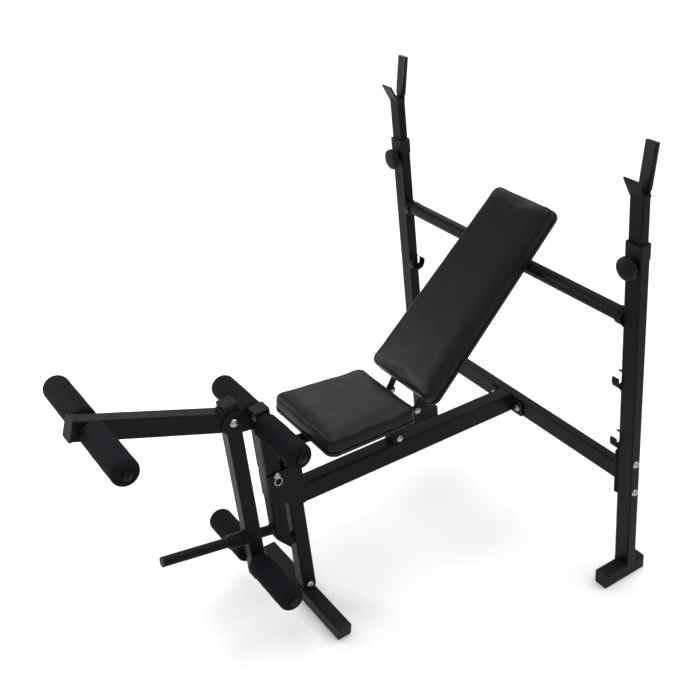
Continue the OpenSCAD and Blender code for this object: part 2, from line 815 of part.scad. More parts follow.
// Two rails with hinge lugs under the backrest
module back_frame() {
  color(black) back_place() for (s = sides) {
    translate([s * rail_x, back_u0 + 14, back_rail_n + back_rail_h / 2]) along_y()
      box_tube(rail_w, back_rail_h, back_len - 60, 1.5, 2.5);
    difference() {
      translate([s * (lug_x + lug_t / 2), 0, 0]) across(lug_t) {
        circle(hinge_r);
        polygon([[-6, 12], [13, -4], [back_u0 + 16, back_rail_n], [back_u0 + 70, back_rail_n],
          [back_u0 + 70, back_board_n], [back_u0 + 6, back_board_n]]);
      }
      translate([s * rail_x, 0, 0]) cross_pin(bolt_d + 2 * run, -rail_w, rail_w);
      translate([s * rail_x, back_u0 + 14, back_rail_n + back_rail_h / 2]) along_y()
        round_bar(rail_w, back_rail_h, back_len, 2.5);
    }
  }
}

module hinge_bolts() {
  x = lug_x + lug_t + fit;
  for (s = sides) color(zinc) translate([s * x, hinge_y, hinge_z]) rotate([0, s * 90, 0]) {
    dome_head(18, 6);
    translate([0, 0, -lug_t * 2 - 9]) cylinder(d = bolt_d, h = lug_t * 2 + 9);
    translate([0, 0, -lug_t * 2 - 8]) hex_nut();
  }
}

module back_screws() {
  for (s = sides, u = [back_u0 + 70, back_u0 + back_len - 90]) color(zinc) back_place()
    translate([s * rail_x, u, back_rail_n]) rotate([180, 0, 0]) dome_head(11, 3);
}

left_upright();
right_upright();
left_rear_foot();
right_rear_foot();
rear_foot_caps();
left_saddles();
right_saddles();
left_collar();
right_collar();
left_slide_tube();
right_slide_tube();
left_cradle();
right_cradle();
left_cradle_guard();
right_cradle_guard();
left_knob();
right_knob();
left_knob_screw();
right_knob_screw();
cross_member();
cross_bolts();
beam_bolts();
main_beam();
front_leg();
front_foot();
front_foot_caps();
leg_bolt();
gusset_plates();
post_spacer();
developer_post();
post_cap();
pivot_plates();
pivot_bolt();
pivot_bush();
lock_pin();
lever_post();
lever_cap();
lever_arm();
arm_cap();
weight_peg();
peg_cap();
stop_pad();
roller_rods();
lever_rods();
knee_foam_left();
knee_foam_right();
arm_foam_left();
arm_foam_right();
ankle_foam_left();
ankle_foam_right();
support_bar();
seat_pad();
seat_frame();
seat_bracket();
seat_bolt();
back_pad();
back_board();
back_frame();
hinge_bolts();
back_screws();
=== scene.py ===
import json
import math

import bmesh
import bpy
from bpy.props import FloatProperty, FloatVectorProperty, IntProperty, PointerProperty
from mathutils import Matrix, Vector, noise


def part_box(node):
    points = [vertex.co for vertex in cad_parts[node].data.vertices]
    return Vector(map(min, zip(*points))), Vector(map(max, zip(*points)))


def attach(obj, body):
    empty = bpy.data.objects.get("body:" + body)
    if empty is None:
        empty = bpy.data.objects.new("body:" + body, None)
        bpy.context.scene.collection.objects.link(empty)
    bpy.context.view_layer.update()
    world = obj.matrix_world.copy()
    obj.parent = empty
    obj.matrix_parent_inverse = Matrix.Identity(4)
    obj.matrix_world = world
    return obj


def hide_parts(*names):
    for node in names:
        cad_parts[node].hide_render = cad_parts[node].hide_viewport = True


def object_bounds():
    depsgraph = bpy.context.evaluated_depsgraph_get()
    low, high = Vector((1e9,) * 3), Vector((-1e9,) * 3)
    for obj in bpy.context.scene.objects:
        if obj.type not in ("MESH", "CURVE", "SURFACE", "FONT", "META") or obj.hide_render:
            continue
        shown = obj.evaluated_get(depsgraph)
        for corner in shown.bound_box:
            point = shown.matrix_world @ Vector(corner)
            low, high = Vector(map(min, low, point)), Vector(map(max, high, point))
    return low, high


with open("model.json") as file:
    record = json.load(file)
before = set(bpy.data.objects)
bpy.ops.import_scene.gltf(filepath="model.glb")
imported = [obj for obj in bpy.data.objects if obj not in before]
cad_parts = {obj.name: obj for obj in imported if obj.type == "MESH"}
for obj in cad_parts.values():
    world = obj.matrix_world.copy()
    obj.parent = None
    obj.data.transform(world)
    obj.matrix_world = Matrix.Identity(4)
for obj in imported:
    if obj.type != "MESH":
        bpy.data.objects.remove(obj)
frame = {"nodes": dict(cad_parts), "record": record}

bl_info = {
    "name": "Adjustable weight bench",
    "version": (1, 0, 0),
    "blender": (4, 5, 0),
    "location": "View3D > Sidebar > Bench",
    "description": "Upholstery, foam rollers, welds and finishes for the adjustable weight bench",
    "category": "Object",
}

NODES = frame["nodes"]
CAD_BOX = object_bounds()
SIDES = {"left": -1, "right": 1}
X, Y, Z = Vector((1, 0, 0)), Vector((0, 1, 0)), Vector((0, 0, 1))
SWELL_FRAMES = 20
EVENING_ROUNDS = 14
BOARD = 0.0063
VINYL_SHEET = 0.0011
STAPLE = 0.010


# ---------------------------------------------------------------- sizes and colours

def colour(name, text, value):
    return FloatVectorProperty(name=name, description=text, subtype="COLOR", size=3,
                               min=0, max=1, default=value)


def length(name, text, value):
    return FloatProperty(name=name, description=text, unit="LENGTH", default=value, min=0)


class BenchFinishes(bpy.types.PropertyGroup):
    paint: colour("Paint", "Black powder coat on the tubes and plates", (0.0048, 0.0048, 0.0036))
    plastic: colour("Plastic", "Tube plugs, collars and caps", (0.0085, 0.009, 0.0085))
    knob: colour("Knob", "Moulded clamp knobs", (0.0048, 0.005, 0.0048))
    guard: colour("Cradle guard", "Glossy sleeve on the cradles", (0.0025, 0.0034, 0.0045))
    vinyl: colour("Vinyl", "Upholstery on the seat and backrest", (0.0078, 0.0076, 0.0064))
    foam: colour("Foam", "Closed-cell foam of the rollers", (0.0052, 0.006, 0.0078))
    zinc: colour("Zinc", "Plated bolts, nuts, rods and pins", (0.42, 0.42, 0.4))
    board: colour("Board", "Stained board under the backrest", (0.03, 0.023, 0.017))
    nylon: colour("Nylon", "Bearing tube in the lever", (0.55, 0.53, 0.49))


class BenchSizes(bpy.types.PropertyGroup):
    pad_edge: length("Pad edge radius", "Rounding of the pads' top edges", 0.0115)
    pad_start: length("Pad start inset", "How much smaller a pad starts before it swells", 0.001)
    pad_swell: length("Pad swell", "Most that a point of a pad may move as it swells", 0.005)
    pad_voxel: length("Pad mesh size", "Size of the faces the pads are remade with", 0.005)
    hem: length("Hem width", "Vinyl turned under the boards", 0.026)
    staple_gap: length("Staple spacing", "Distance between staples under the pads", 0.024)
    foam_dent: length("Foam unevenness", "Depth of the soft dents in the rollers", 0.0006)
    weld: length("Weld bead radius", "Radius of a weld bead", 0.0024)
    turns: IntProperty(name="Roller facets", description="Facets round a roller", default=72, min=24)


class BenchStage(bpy.types.PropertyGroup):
    floor: colour("Floor", "Studio floor", (0.84, 0.84, 0.84))
    eye: FloatVectorProperty(name="Camera", description="Place of the camera", unit="LENGTH",
                             default=(1.9315, -1.0172, 2.0172))
    azimuth: FloatProperty(name="Azimuth", description="Turn of the view about Z", unit="ROTATION",
                           default=math.radians(60.6))
    elevation: FloatProperty(name="Elevation", description="How far the view looks down",
                             unit="ROTATION", default=math.radians(31.4))
    roll: FloatProperty(name="Roll", description="Lean of the picture", unit="ROTATION",
                        default=math.radians(-6.6))
    lens: FloatProperty(name="Lens", description="Focal length on a 36 mm sensor, in mm",
                        default=56.45, min=10)
    key: FloatProperty(name="Key light", description="Power of the large soft light", default=15)
    front: FloatProperty(name="Front light", description="Power of the light ahead of the bench",
                         default=22)
    rim: FloatProperty(name="Edge light", description="Power of the small light on the pads' edges",
                       default=9)
    sun: FloatProperty(name="Overhead light", description="Strength of the even overhead light",
                       default=3.1)
    sky: FloatProperty(name="Surround", description="Strength of the white surround", default=0.33)


# ---------------------------------------------------------------- shader expressions

class Flow:
    """A shader value that takes part in Python expressions; each operator adds its Math node."""

    def __init__(self, shop, socket):
        self.shop = shop
        self.socket = socket

    def _math(self, kind, a, b=None):
        given = {0: a} if b is None else {0: a, 1: b}
        return self.shop.node("ShaderNodeMath", {"operation": kind}, given)

    def __add__(self, other): return self._math("ADD", self, other)
    def __radd__(self, other): return self._math("ADD", other, self)
    def __sub__(self, other): return self._math("SUBTRACT", self, other)
    def __rsub__(self, other): return self._math("SUBTRACT", other, self)
    def __mul__(self, other): return self._math("MULTIPLY", self, other)
    def __rmul__(self, other): return self._math("MULTIPLY", other, self)
    def __truediv__(self, other): return self._math("DIVIDE", self, other)
    def __pow__(self, other): return self._math("POWER", self, other)

    def above(self, low, high):
        """0 below low, 1 above high, and a smooth step between them."""
        return self.shop.node("ShaderNodeMapRange", {"interpolation_type": "SMOOTHSTEP"},
                              {0: self, 1: low, 2: high, 3: 0.0, 4: 1.0})


class Finish:
    """One material being made: adds nodes and sets the Principled shader's sockets."""

    def __init__(self, name):
        self.material = bpy.data.materials.new(name)
        self.material.use_nodes = True
        self.tree = self.material.node_tree
        self.shader = self.tree.nodes["Principled BSDF"]
        self.place = self.node("ShaderNodeTexCoord", out="Object")

    def node(self, kind, settings=None, given=None, out=0):
        made = self.tree.nodes.new(kind)
        for key, value in (settings or {}).items():
            if key == "stops":
                self._ramp(made.color_ramp, value)
            else:
                setattr(made, key, value)
        for key, value in (given or {}).items():
            self.join(value, made.inputs[key])
        return Flow(self, made.outputs[out])

    def _ramp(self, ramp, stops):
        while len(ramp.elements) < len(stops):
            ramp.elements.new(0.5)
        for element, (at, value) in zip(ramp.elements, stops):
            element.position = at
            element.color = (value, value, value, 1) if isinstance(value, (int, float)) else (*value, 1)

    def join(self, value, socket):
        if isinstance(value, Flow):
            self.tree.links.new(value.socket, socket)
        else:
            socket.default_value = value

    def set(self, **sockets):
        for key, value in sockets.items():
            name = key.replace("_", " ").title().replace("Ior", "IOR")
            if name == "Base Color" and not isinstance(value, Flow):
                value = (*value, 1)
            self.join(value, self.shader.inputs[name])
        return self

    def noise(self, scale, detail=2.0, rough=0.5, at=None, out="Fac"):
        return self.node("ShaderNodeTexNoise", None,
                         {"Vector": at or self.place, "Scale": scale, "Detail": detail,
                          "Roughness": rough}, out)

    def cells(self, scale, feature="F1", at=None, jitter=1.0):
        return self.node("ShaderNodeTexVoronoi", {"feature": feature},
                         {"Vector": at or self.place, "Scale": scale, "Randomness": jitter},
                         "Distance")

    def stretched(self, x, y, z):
        return self.node("ShaderNodeVectorMath", {"operation": "MULTIPLY"},
                         {0: self.place, 1: (x, y, z)})

    def tint(self, amount, a, b):
        """Colour a where amount is 0 and b where it is 1."""
        made = self.tree.nodes.new("ShaderNodeMix")
        made.data_type = "RGBA"
        self.join(amount, made.inputs[0])
        for socket, value in ((made.inputs[6], a), (made.inputs[7], b)):
            self.join((*value, 1) if isinstance(value, tuple) else value, socket)
        return Flow(self, made.outputs[2])

    def soft_edges(self, radius):
        """Normal with its edges rounded over, and a mask of where the edges are."""
        rounded = self.node("ShaderNodeBevel", {"samples": 4}, {"Radius": radius})
        plain = self.node("ShaderNodeNewGeometry", out="Normal")
        same = self.node("ShaderNodeVectorMath", {"operation": "DOT_PRODUCT"},
                         {0: rounded, 1: plain}, "Value")
        return rounded, (1 - same).above(0.004, 0.11)

    def facing_up(self):
        """1 on faces that look straight up and 0 on upright ones, where dust doesn't lie."""
        normal = self.node("ShaderNodeNewGeometry", out="Normal")
        up = self.node("ShaderNodeSeparateXYZ", None, {0: normal}, "Z")
        return up.above(0.35, 0.98)

    def bump(self, height, depth, base=None):
        given = {"Height": height, "Distance": depth, "Strength": 1.0}
        if base is not None:
            given["Normal"] = base
        self.set(normal=self.node("ShaderNodeBump", None, given))
        return self.material


def scaled(rgb, factor):
    return tuple(min(1.0, c * factor) for c in rgb)


def powder_coat(rgb):
    """Satin black powder coat: orange peel, faint mottling, thin dust and brighter worn edges."""
    f = Finish("Powder coat")
    mottle = f.noise(9, 4, 0.6)
    peel = f.noise(620, 2, 0.45)
    grit = f.noise(2600, 1, 0.5)
    rounded, edge = f.soft_edges(0.0016)
    rubbed = edge * f.noise(70, 4, 0.65).above(0.42, 0.66)
    dust = f.facing_up() * f.noise(38, 5, 0.7).above(0.3, 0.8)
    base = f.tint(mottle, scaled(rgb, 0.8), scaled(rgb, 1.25))
    base = f.tint(dust * 0.3, base, (0.022, 0.022, 0.018))
    base = f.tint(rubbed * 0.5, base, (0.035, 0.035, 0.03))
    rough = 0.36 + 0.12 * mottle + 0.14 * dust - 0.08 * rubbed
    f.set(base_color=base, roughness=rough, specular_ior_level=0.08)
    return f.bump(peel * 0.75 + grit * 0.25, 0.00012, rounded)


def moulded(name, rgb, rough, sheen=0.09):
    """Injection-moulded plastic: fine spark texture, handling marks and a painted highlight along its edges.
    """
    f = Finish(name)
    spark = f.noise(1900, 2, 0.6)
    scuff = f.noise(46, 5, 0.7).above(0.5, 0.85)
    rounded, edge = f.soft_edges(0.0014)
    base = f.tint(f.noise(16, 3), scaled(rgb, 0.85), scaled(rgb, 1.2))
    # Painted highlight: every edge is lightened; the scuffs add real handling marks to the same tint.
    base = f.tint(edge * 0.35 + scuff * 0.1, base, scaled(rgb, 4.2))
    f.set(base_color=base, roughness=rough + 0.12 * scuff + 0.06 * spark, specular_ior_level=sheen)
    return f.bump(spark, 0.00009, rounded)


def glossy_sleeve(rgb):
    """Dip-moulded sleeve: smooth and glossy, with faint flow lines down its length and a painted highlight on
    its edges.
    """
    f = Finish("Cradle sleeve")
    flow = f.noise(1, 3, 0.5, f.stretched(420, 420, 26))
    haze = f.noise(30, 4, 0.6).above(0.4, 0.8)
    rounded, edge = f.soft_edges(0.0035)
    base = f.tint(haze, scaled(rgb, 0.9), scaled(rgb, 1.6))
    # Painted highlight: every edge is lightened.
    base = f.tint(edge * 0.3, base, scaled(rgb, 3.5))
    f.set(base_color=base, roughness=0.2 + 0.14 * haze + 0.06 * flow, specular_ior_level=0.15,
          coat_weight=0.06 + 0.06 * flow)
    f.shader.inputs["Coat Roughness"].default_value = 0.12
    return f.bump(flow, 0.00012, rounded)


def plated(rgb):
    """Bright zinc plate: turned lines, spangle, dull patches and a painted highlight on the edges."""
    f = Finish("Zinc plate")
    lines = f.noise(1, 2, 0.5, f.stretched(2400, 240, 240))
    spangle = f.cells(520)
    dull = f.noise(120, 5, 0.7).above(0.35, 0.75)
    rounded, edge = f.soft_edges(0.0009)
    base = f.tint(dull, rgb, scaled(rgb, 0.62))
    # Painted highlight: the edges are lightened, which leaves flats and recesses darker by contrast.
    base = f.tint(edge * 0.5, base, scaled(rgb, 1.2))
    f.set(base_color=base, metallic=1.0, roughness=0.24 + 0.2 * dull + 0.08 * lines)
    return f.bump(lines * 0.6 + spangle * 0.4, 0.00005, rounded)


def vinyl_cover(rgb):
    """Upholstery vinyl: pebbled grain, fine pores, faint creases and a hand-worn sheen."""
    f = Finish("Upholstery vinyl")
    drift = f.noise(60, 2, 0.5, out="Color")
    warped = f.node("ShaderNodeVectorMath", {"operation": "MULTIPLY_ADD"},
                    {0: drift, 1: (0.004, 0.004, 0.004), 2: f.place})
    pebble = f.cells(520, "SMOOTH_F1", warped)
    fine = f.cells(1350, "F1", warped)
    crease = f.node("ShaderNodeTexNoise", {"noise_type": "RIDGED_MULTIFRACTAL"},
                    {"Vector": warped, "Scale": 34.0, "Detail": 4.0, "Roughness": 0.55}, "Fac")
    worn = f.noise(7, 4, 0.6).above(0.35, 0.72)
    shaded_valley = pebble.above(0.25, 0.62)
    base = f.tint(worn, scaled(rgb, 0.9), scaled(rgb, 1.16))
    # Painted shade: the low parts of the pebble grain are darkened.
    base = f.tint(shaded_valley * 0.45, base, scaled(rgb, 0.5))
    base = f.tint(f.facing_up() * f.noise(210, 3, 0.7).above(0.62, 0.8) * 0.16, base, (0.035, 0.034, 0.03))
    f.set(base_color=base, roughness=0.38 - 0.07 * worn + 0.14 * shaded_valley, specular_ior_level=0.13)
    return f.bump(0.62 * (1 - pebble) + 0.2 * (1 - fine) + 0.1 * crease, 0.00042)


def cell_foam(rgb):
    """Closed-cell foam: matt, finely pitted, with a few lighter scuffs and moulding pimples."""
    f = Finish("Roller foam")
    pits = f.cells(760)
    grain = f.noise(1500, 3, 0.6)
    wave = f.noise(55, 3, 0.55)
    scuff = f.noise(24, 6, 0.75).above(0.56, 0.8)
    # Painted light and shade: the raised cells are lightened and the pits between them darkened.
    base = f.tint(pits.above(0.15, 0.6), scaled(rgb, 1.3), scaled(rgb, 0.7))
    base = f.tint(scuff * 0.22, base, scaled(rgb, 3.2))
    f.set(base_color=base, roughness=0.78 + 0.12 * grain, specular_ior_level=0.08)
    return f.bump(0.55 * (1 - pits) + 0.25 * grain + 0.2 * wave, 0.0006)


def stained_board(rgb):
    """Stained board: long grain along the pad and pores."""
    f = Finish("Stained board")
    grain = f.noise(1, 5, 0.65, f.stretched(190, 9, 9))
    pores = f.noise(1, 2, 0.5, f.stretched(1700, 60, 60))
    base = f.tint(grain, scaled(rgb, 0.6), scaled(rgb, 1.7))
    base = f.tint(pores.above(0.55, 0.75) * 0.5, base, scaled(rgb, 0.35))
    f.set(base_color=base, roughness=0.66 + 0.14 * pores, specular_ior_level=0.2)
    return f.bump(grain * 0.6 + pores * 0.4, 0.0003)


def weld_metal(rgb):
    """Painted weld: the frame's paint, a little rougher, with spatter under it."""
    f = Finish("Painted weld")
    spatter = f.cells(900)
    base = f.tint(f.noise(160, 3), scaled(rgb, 0.9), scaled(rgb, 1.9))
    f.set(base_color=base, roughness=0.4 + 0.12 * f.noise(80), specular_ior_level=0.15)
    return f.bump(1 - spatter, 0.0002)


def studio_floor(rgb):
    """Matt studio floor with the slightest unevenness."""
    f = Finish("Studio floor")
    base = f.tint(f.noise(1.4, 2), scaled(rgb, 0.99), scaled(rgb, 1.01))
    f.set(base_color=base, roughness=0.9 + 0.05 * f.noise(3), specular_ior_level=0.1)
    return f.bump(f.noise(240, 2), 0.0001)


def finish(name, maker, *given):
    """The material of that name, made once."""
    return bpy.data.materials.get(name) or maker(*given)


def paint():
    return finish("Powder coat", powder_coat, tuple(bpy.context.scene.bench_finishes.paint))


def vinyl():
    return finish("Upholstery vinyl", vinyl_cover, tuple(bpy.context.scene.bench_finishes.vinyl))


def zinc():
    return finish("Zinc plate", plated, tuple(bpy.context.scene.bench_finishes.zinc))


def dress(names, material):
    """Gives each CAD node that material in every slot."""
    for name in names:
        slots = NODES[name].data.materials
        if not slots:
            slots.append(material)
        for i in range(len(slots)):
            slots[i] = material


def material_slot(node):
    """The name of the finish that the record gives this node."""
    for part in frame["record"]["subparts"]:
        if part["node"] == node:
            return part["material_slot"]
    raise ValueError(f"no material slot for {node}")


# ---------------------------------------------------------------- mesh helpers

def new_piece(name, bm, material, body, smooth=True):
    """An object from that bmesh, with its material, riding on that body."""
    mesh = bpy.data.meshes.new(name)
    bm.normal_update()
    bm.to_mesh(mesh)
    bm.free()
    mesh.materials.append(material)
    for polygon in mesh.polygons:
        polygon.use_smooth = smooth
    made = bpy.data.objects.new(name, mesh)
    bpy.context.scene.collection.objects.link(made)
    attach(made, body)
    return made


class PadPlan:
    """A pad's own frame and outline, read from its CAD solid: X across, U along, N out of its face."""

    def __init__(self, node):
        mesh = NODES[node].data
        best = {}
        for p in mesh.polygons:
            key = tuple(round(c, 2) for c in p.normal)
            best[key] = best.get(key, 0.0) + p.area
        normal = max((k for k in best if k[2] > 0.3), key=lambda k: best[k])
        exact = [p.normal for p in mesh.polygons if tuple(round(c, 2) for c in p.normal) == normal]
        self.n = sum(exact, Vector()).normalized()
        self.x = Vector((1, 0, 0))
        self.u = self.n.cross(self.x).normalized()
        points = [v.co for v in mesh.vertices]
        heights = [p.dot(self.n) for p in points]
        self.top = max(heights)
        self.thick = self.top - min(heights)
        rim = {(round(p.dot(self.x), 6), round(p.dot(self.u), 6)) for p, h in zip(points, heights)
               if h > self.top - 1e-5}
        middle = Vector((0.0, sum(p[1] for p in rim) / len(rim)))
        rim = sorted(rim, key=lambda p: math.atan2(p[1] - middle.y, p[0] - middle.x))
        self.rim = self._even([Vector(p) for p in rim], 0.004)

    @staticmethod
    def _even(points, step):
        """The closed outline with a point every step along it."""
        out = []
        for a, b in zip(points, points[1:] + points[:1]):
            parts = max(1, round((b - a).length / step))
            out += [a.lerp(b, i / parts) for i in range(parts)]
        return out

    def inset(self, distance):
        """The outline moved inwards."""
        out = []
        count = len(self.rim)
        for i, p in enumerate(self.rim):
            along = (self.rim[(i + 1) % count] - self.rim[i - 1]).normalized()
            out.append(p + Vector((-along.y, along.x)) * distance)
        return out

    def point(self, flat, height):
        """A point of the outline's plane, height above the pad's underside."""
        return self.x * flat.x + self.u * flat.y + self.n * (self.top - self.thick + height)


def loft(bm, rings):
    """Skins neighbouring closed rings of points and caps both ends."""
    rows = [[bm.verts.new(p) for p in ring] for ring in rings]
    for low, high in zip(rows, rows[1:]):
        for i in range(len(low)):
            j = (i + 1) % len(low)
            bm.faces.new((low[i], low[j], high[j], high[i]))
    bm.faces.new(list(reversed(rows[0])))
    bm.faces.new(rows[-1])


def evened(mesh, steps, rounds):
    """The moves averaged with their neighbours', so that the cover stays taut and free of dents."""
    near = [[] for _ in steps]
    for edge in mesh.edges:
        a, b = edge.vertices
        near[a].append(b)
        near[b].append(a)
    for _ in range(rounds):
        steps = [(steps[i] + sum((steps[j] for j in near[i]), Vector())) / (1 + len(near[i]))
                 for i in range(len(steps))]
    return steps


def swell(obj, plan, cap, pressure):
    """Blows the pad up with a cloth simulation, keeping its underside flat on the board."""
    mesh = obj.data
    start = [v.co.copy() for v in mesh.vertices]
    floor_h = plan.top - plan.thick
    held = obj.vertex_groups.new(name="board")
    held.add([v.index for v in mesh.vertices if v.co.dot(plan.n) < floor_h + 0.0045], 1.0, "REPLACE")
    cloth = obj.modifiers.new("swell", "CLOTH")
    cloth.settings.quality = 5
    cloth.settings.mass = 0.3
    cloth.settings.tension_stiffness = 18
    cloth.settings.compression_stiffness = 18
    cloth.settings.bending_stiffness = 6
    cloth.settings.use_pressure = True
    cloth.settings.uniform_pressure_force = pressure
    cloth.settings.vertex_group_mass = "board"
    cloth.settings.effector_weights.gravity = 0
    cloth.collision_settings.use_collision = False
    cloth.point_cache.frame_start = 1
    cloth.point_cache.frame_end = SWELL_FRAMES
    scene = bpy.context.scene
    for number in range(1, SWELL_FRAMES + 1):
        scene.frame_set(number)
    ready = obj.evaluated_get(bpy.context.evaluated_depsgraph_get())
    moved = [v.co.copy() for v in ready.data.vertices]
    obj.modifiers.remove(cloth)
    obj.vertex_groups.clear()
    scene.frame_set(1)
    steps = [b - a for a, b in zip(start, moved)]
    steps = [step * (cap / max(cap, step.length)) for step in steps]
    for v, a, step in zip(mesh.vertices, start, evened(mesh, steps, EVENING_ROUNDS)):
        v.co = a + step
    for v in mesh.vertices:
        drop = floor_h - v.co.dot(plan.n)
        if drop > 0:
            v.co += plan.n * drop
    mesh.update()


def upholster(name, node, body):
    """A crowned vinyl pad in place of its plain CAD solid."""
    sizes = bpy.context.scene.bench_sizes
    plan = PadPlan(node)
    r = sizes.pad_edge
    s = sizes.pad_start
    top = plan.thick - s * 0.5
    rings = [(s + 0.004, 0.0), (s + 0.001, 0.0015), (s, 0.005), (s, top - r)]
    rings += [(s + r * (1 - math.cos(a)), top - r + r * math.sin(a))
              for a in (math.radians(15 * k) for k in range(1, 7))]
    bm = bmesh.new()
    loft(bm, [[plan.point(p, h) for p in plan.inset(d)] for d, h in rings])
    pad = new_piece(name, bm, vinyl(), body)
    remesh = pad.modifiers.new("even", "REMESH")
    remesh.mode = "VOXEL"
    remesh.voxel_size = sizes.pad_voxel
    remesh.use_smooth_shade = True
    bake_modifiers(pad)
    swell(pad, plan, sizes.pad_swell, 4.0)
    mesh = pad.data
    for v in mesh.vertices:
        h = v.co.dot(plan.n) - (plan.top - plan.thick)
        if h > 0.003:
            ripple = noise.noise(v.co * 21) * 0.0005 + noise.noise(v.co * 55) * 0.00022
            v.co += plan.n * ripple
    finer = pad.modifiers.new("finer", "SUBSURF")
    finer.levels = finer.render_levels = 1
    bake_modifiers(pad)
    for polygon in pad.data.polygons:
        polygon.use_smooth = True
    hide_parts(node)
    return plan


def bake_modifiers(obj):
    """Turns what the modifiers make into the object's own mesh."""
    ready = obj.evaluated_get(bpy.context.evaluated_depsgraph_get())
    mesh = bpy.data.meshes.new_from_object(ready)
    materials = list(obj.data.materials)
    obj.modifiers.clear()
    obj.data = mesh
    mesh.materials.clear()
    for material in materials:
        mesh.materials.append(material)


def tube_along(bm, points, radius, closed=True, facets=8, ripple=0.0, pitch=0.003):
    """A tube along a path; ripple gives it the overlapping scales of a weld bead."""
    count = len(points)
    rows = []
    run = 0.0
    for i, p in enumerate(points):
        ahead = points[(i + 1) % count] if closed or i + 1 < count else p
        behind = points[i - 1] if closed or i else p
        run += (p - behind).length if i else 0.0
        along = (ahead - behind).normalized()
        reference = Vector((0.31, 0.57, 0.76))
        side = (reference - along * reference.dot(along)).normalized()
        other = along.cross(side)
        phase = (run / pitch) % 1.0
        r = radius * (1 - ripple * (1 - math.sqrt(max(0.0, 1 - (2 * phase - 1) ** 2))))
        rows.append([bm.verts.new(p + side * (r * math.cos(t)) + other * (r * math.sin(t)))
                     for t in (2 * math.pi * k / facets for k in range(facets))])
    pairs = zip(rows, rows[1:] + rows[:1]) if closed else zip(rows, rows[1:])
    for a, b in pairs:
        for k in range(facets):
            m = (k + 1) % facets
            bm.faces.new((a[k], a[m], b[m], b[k]))
    if not closed:
        bm.faces.new(list(reversed(rows[0])))
        bm.faces.new(rows[-1])


def under_hem(name, plan, body):
    """The vinyl turned under the board, with its row of staples."""
    sizes = bpy.context.scene.bench_sizes
    outer = plan.inset(0.0012)
    inner = plan.inset(0.0034)
    turned = plan.inset(sizes.hem)
    down = -BOARD - VINYL_SHEET
    path = [(plan.inset(0.0004), 0.0006), (outer, -0.002), (outer, down), (turned, down),
            (turned, down + VINYL_SHEET), (inner, down + VINYL_SHEET), (inner, 0.0006)]
    bm = bmesh.new()
    rows = [[bm.verts.new(plan.point(p, h)) for p in ring] for ring, h in path]
    for low, high in zip(rows, rows[1:] + rows[:1]):
        for i in range(len(low)):
            j = (i + 1) % len(low)
            bm.faces.new((low[j], low[i], high[i], high[j]))
    new_piece(name + "_hem", bm, vinyl(), body, smooth=False)
    bm = bmesh.new()
    line = plan.inset(sizes.hem * 0.55)
    gap = 0.0
    for i, p in enumerate(line):
        q = line[(i + 1) % len(line)]
        gap += (q - p).length
        if gap < sizes.staple_gap:
            continue
        gap = 0.0
        along = (q - p).normalized()
        a = plan.point(p - along * STAPLE / 2, down - 0.0002)
        b = plan.point(p + along * STAPLE / 2, down - 0.0002)
        sink = plan.n * 0.0009
        tube_along(bm, [a + sink, a, a.lerp(b, 0.5) - sink * 0.15, b, b + sink], 0.0005,
                   closed=False, facets=6)
    new_piece(name + "_staples", bm, zinc(), body)


def roller(name, node, body):
    """A lathe-turned foam roller with rounded ends, a dimple at its bore and soft dents."""
    sizes = bpy.context.scene.bench_sizes
    low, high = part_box(node)
    middle = (low + high) / 2
    radius = (high.z - low.z) / 2
    half = (high.x - low.x) / 2
    outward = 1 if middle.x > 0 else -1
    bore = 0.0082
    r = 0.015
    profile = [(-half + 0.001, bore), (-half, bore + 0.002), (-half, radius - 0.008)]
    profile += [(-half + 0.006 * (1 - math.cos(a)), radius - 0.007 + 0.007 * math.sin(a))
                for a in (math.radians(30 * k) for k in range(1, 4))]
    steps = 34
    profile += [(-half + 0.006 + (2 * half - 0.006 - r) * k / steps, radius) for k in range(1, steps)]
    profile += [(half - r + r * math.sin(a), radius - r + r * math.cos(a))
                for a in (math.radians(11.25 * k) for k in range(0, 9))]
    profile += [(half - 0.0004, bore + 0.006), (half - 0.0022, bore + 0.003), (half - 0.003, bore)]
    bm = bmesh.new()
    turns = sizes.turns
    rows = []
    for k in range(turns):
        t = 2 * math.pi * k / turns
        row = []
        for x, rr in profile:
            spot = Vector((middle.x + outward * x, rr * math.cos(t), rr * math.sin(t)))
            dent = 0.0
            if rr > radius * 0.6:
                dent = (noise.noise(spot * 26) - 0.45) * sizes.foam_dent
            grown = max(bore, rr + dent)
            row.append(bm.verts.new((spot.x, middle.y + grown * math.cos(t), middle.z + grown * math.sin(t))))
        rows.append(row)
    for a, b in zip(rows, rows[1:] + rows[:1]):
        for i in range(len(profile)):
            j = (i + 1) % len(profile)
            bm.faces.new((a[i], a[j], b[j], b[i]) if outward < 0 else (a[i], b[i], b[j], a[j]))
    bmesh.ops.recalc_face_normals(bm, faces=bm.faces)
    foam = finish("Roller foam", cell_foam, tuple(bpy.context.scene.bench_finishes.foam))
    made = new_piece(name, bm, foam, body)
    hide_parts(node)


def rectangle(centre, across, along, w, h, step=0.001):
    """Points round a rectangle with clipped corners."""
    across, along = across.normalized(), along.normalized()
    c = 0.003
    corners = [(-w / 2 + c, -h / 2), (w / 2 - c, -h / 2), (w / 2, -h / 2 + c), (w / 2, h / 2 - c),
               (w / 2 - c, h / 2), (-w / 2 + c, h / 2), (-w / 2, h / 2 - c), (-w / 2, -h / 2 + c)]
    points = [centre + across * a + along * b for a, b in corners]
    out = []
    for a, b in zip(points, points[1:] + points[:1]):
        parts = max(1, round((b - a).length / step))
        out += [a.lerp(b, i / parts) for i in range(parts)]
    return out


def bead(name, points, body, closed=True):
    """A painted weld bead along those points."""
    bm = bmesh.new()
    tube_along(bm, points, bpy.context.scene.bench_sizes.weld, closed, 8, 0.45)
    metal = finish("Painted weld", weld_metal, tuple(bpy.context.scene.bench_finishes.paint))
    made = new_piece(name, bm, metal, body)


# ---------------------------------------------------------------- operators

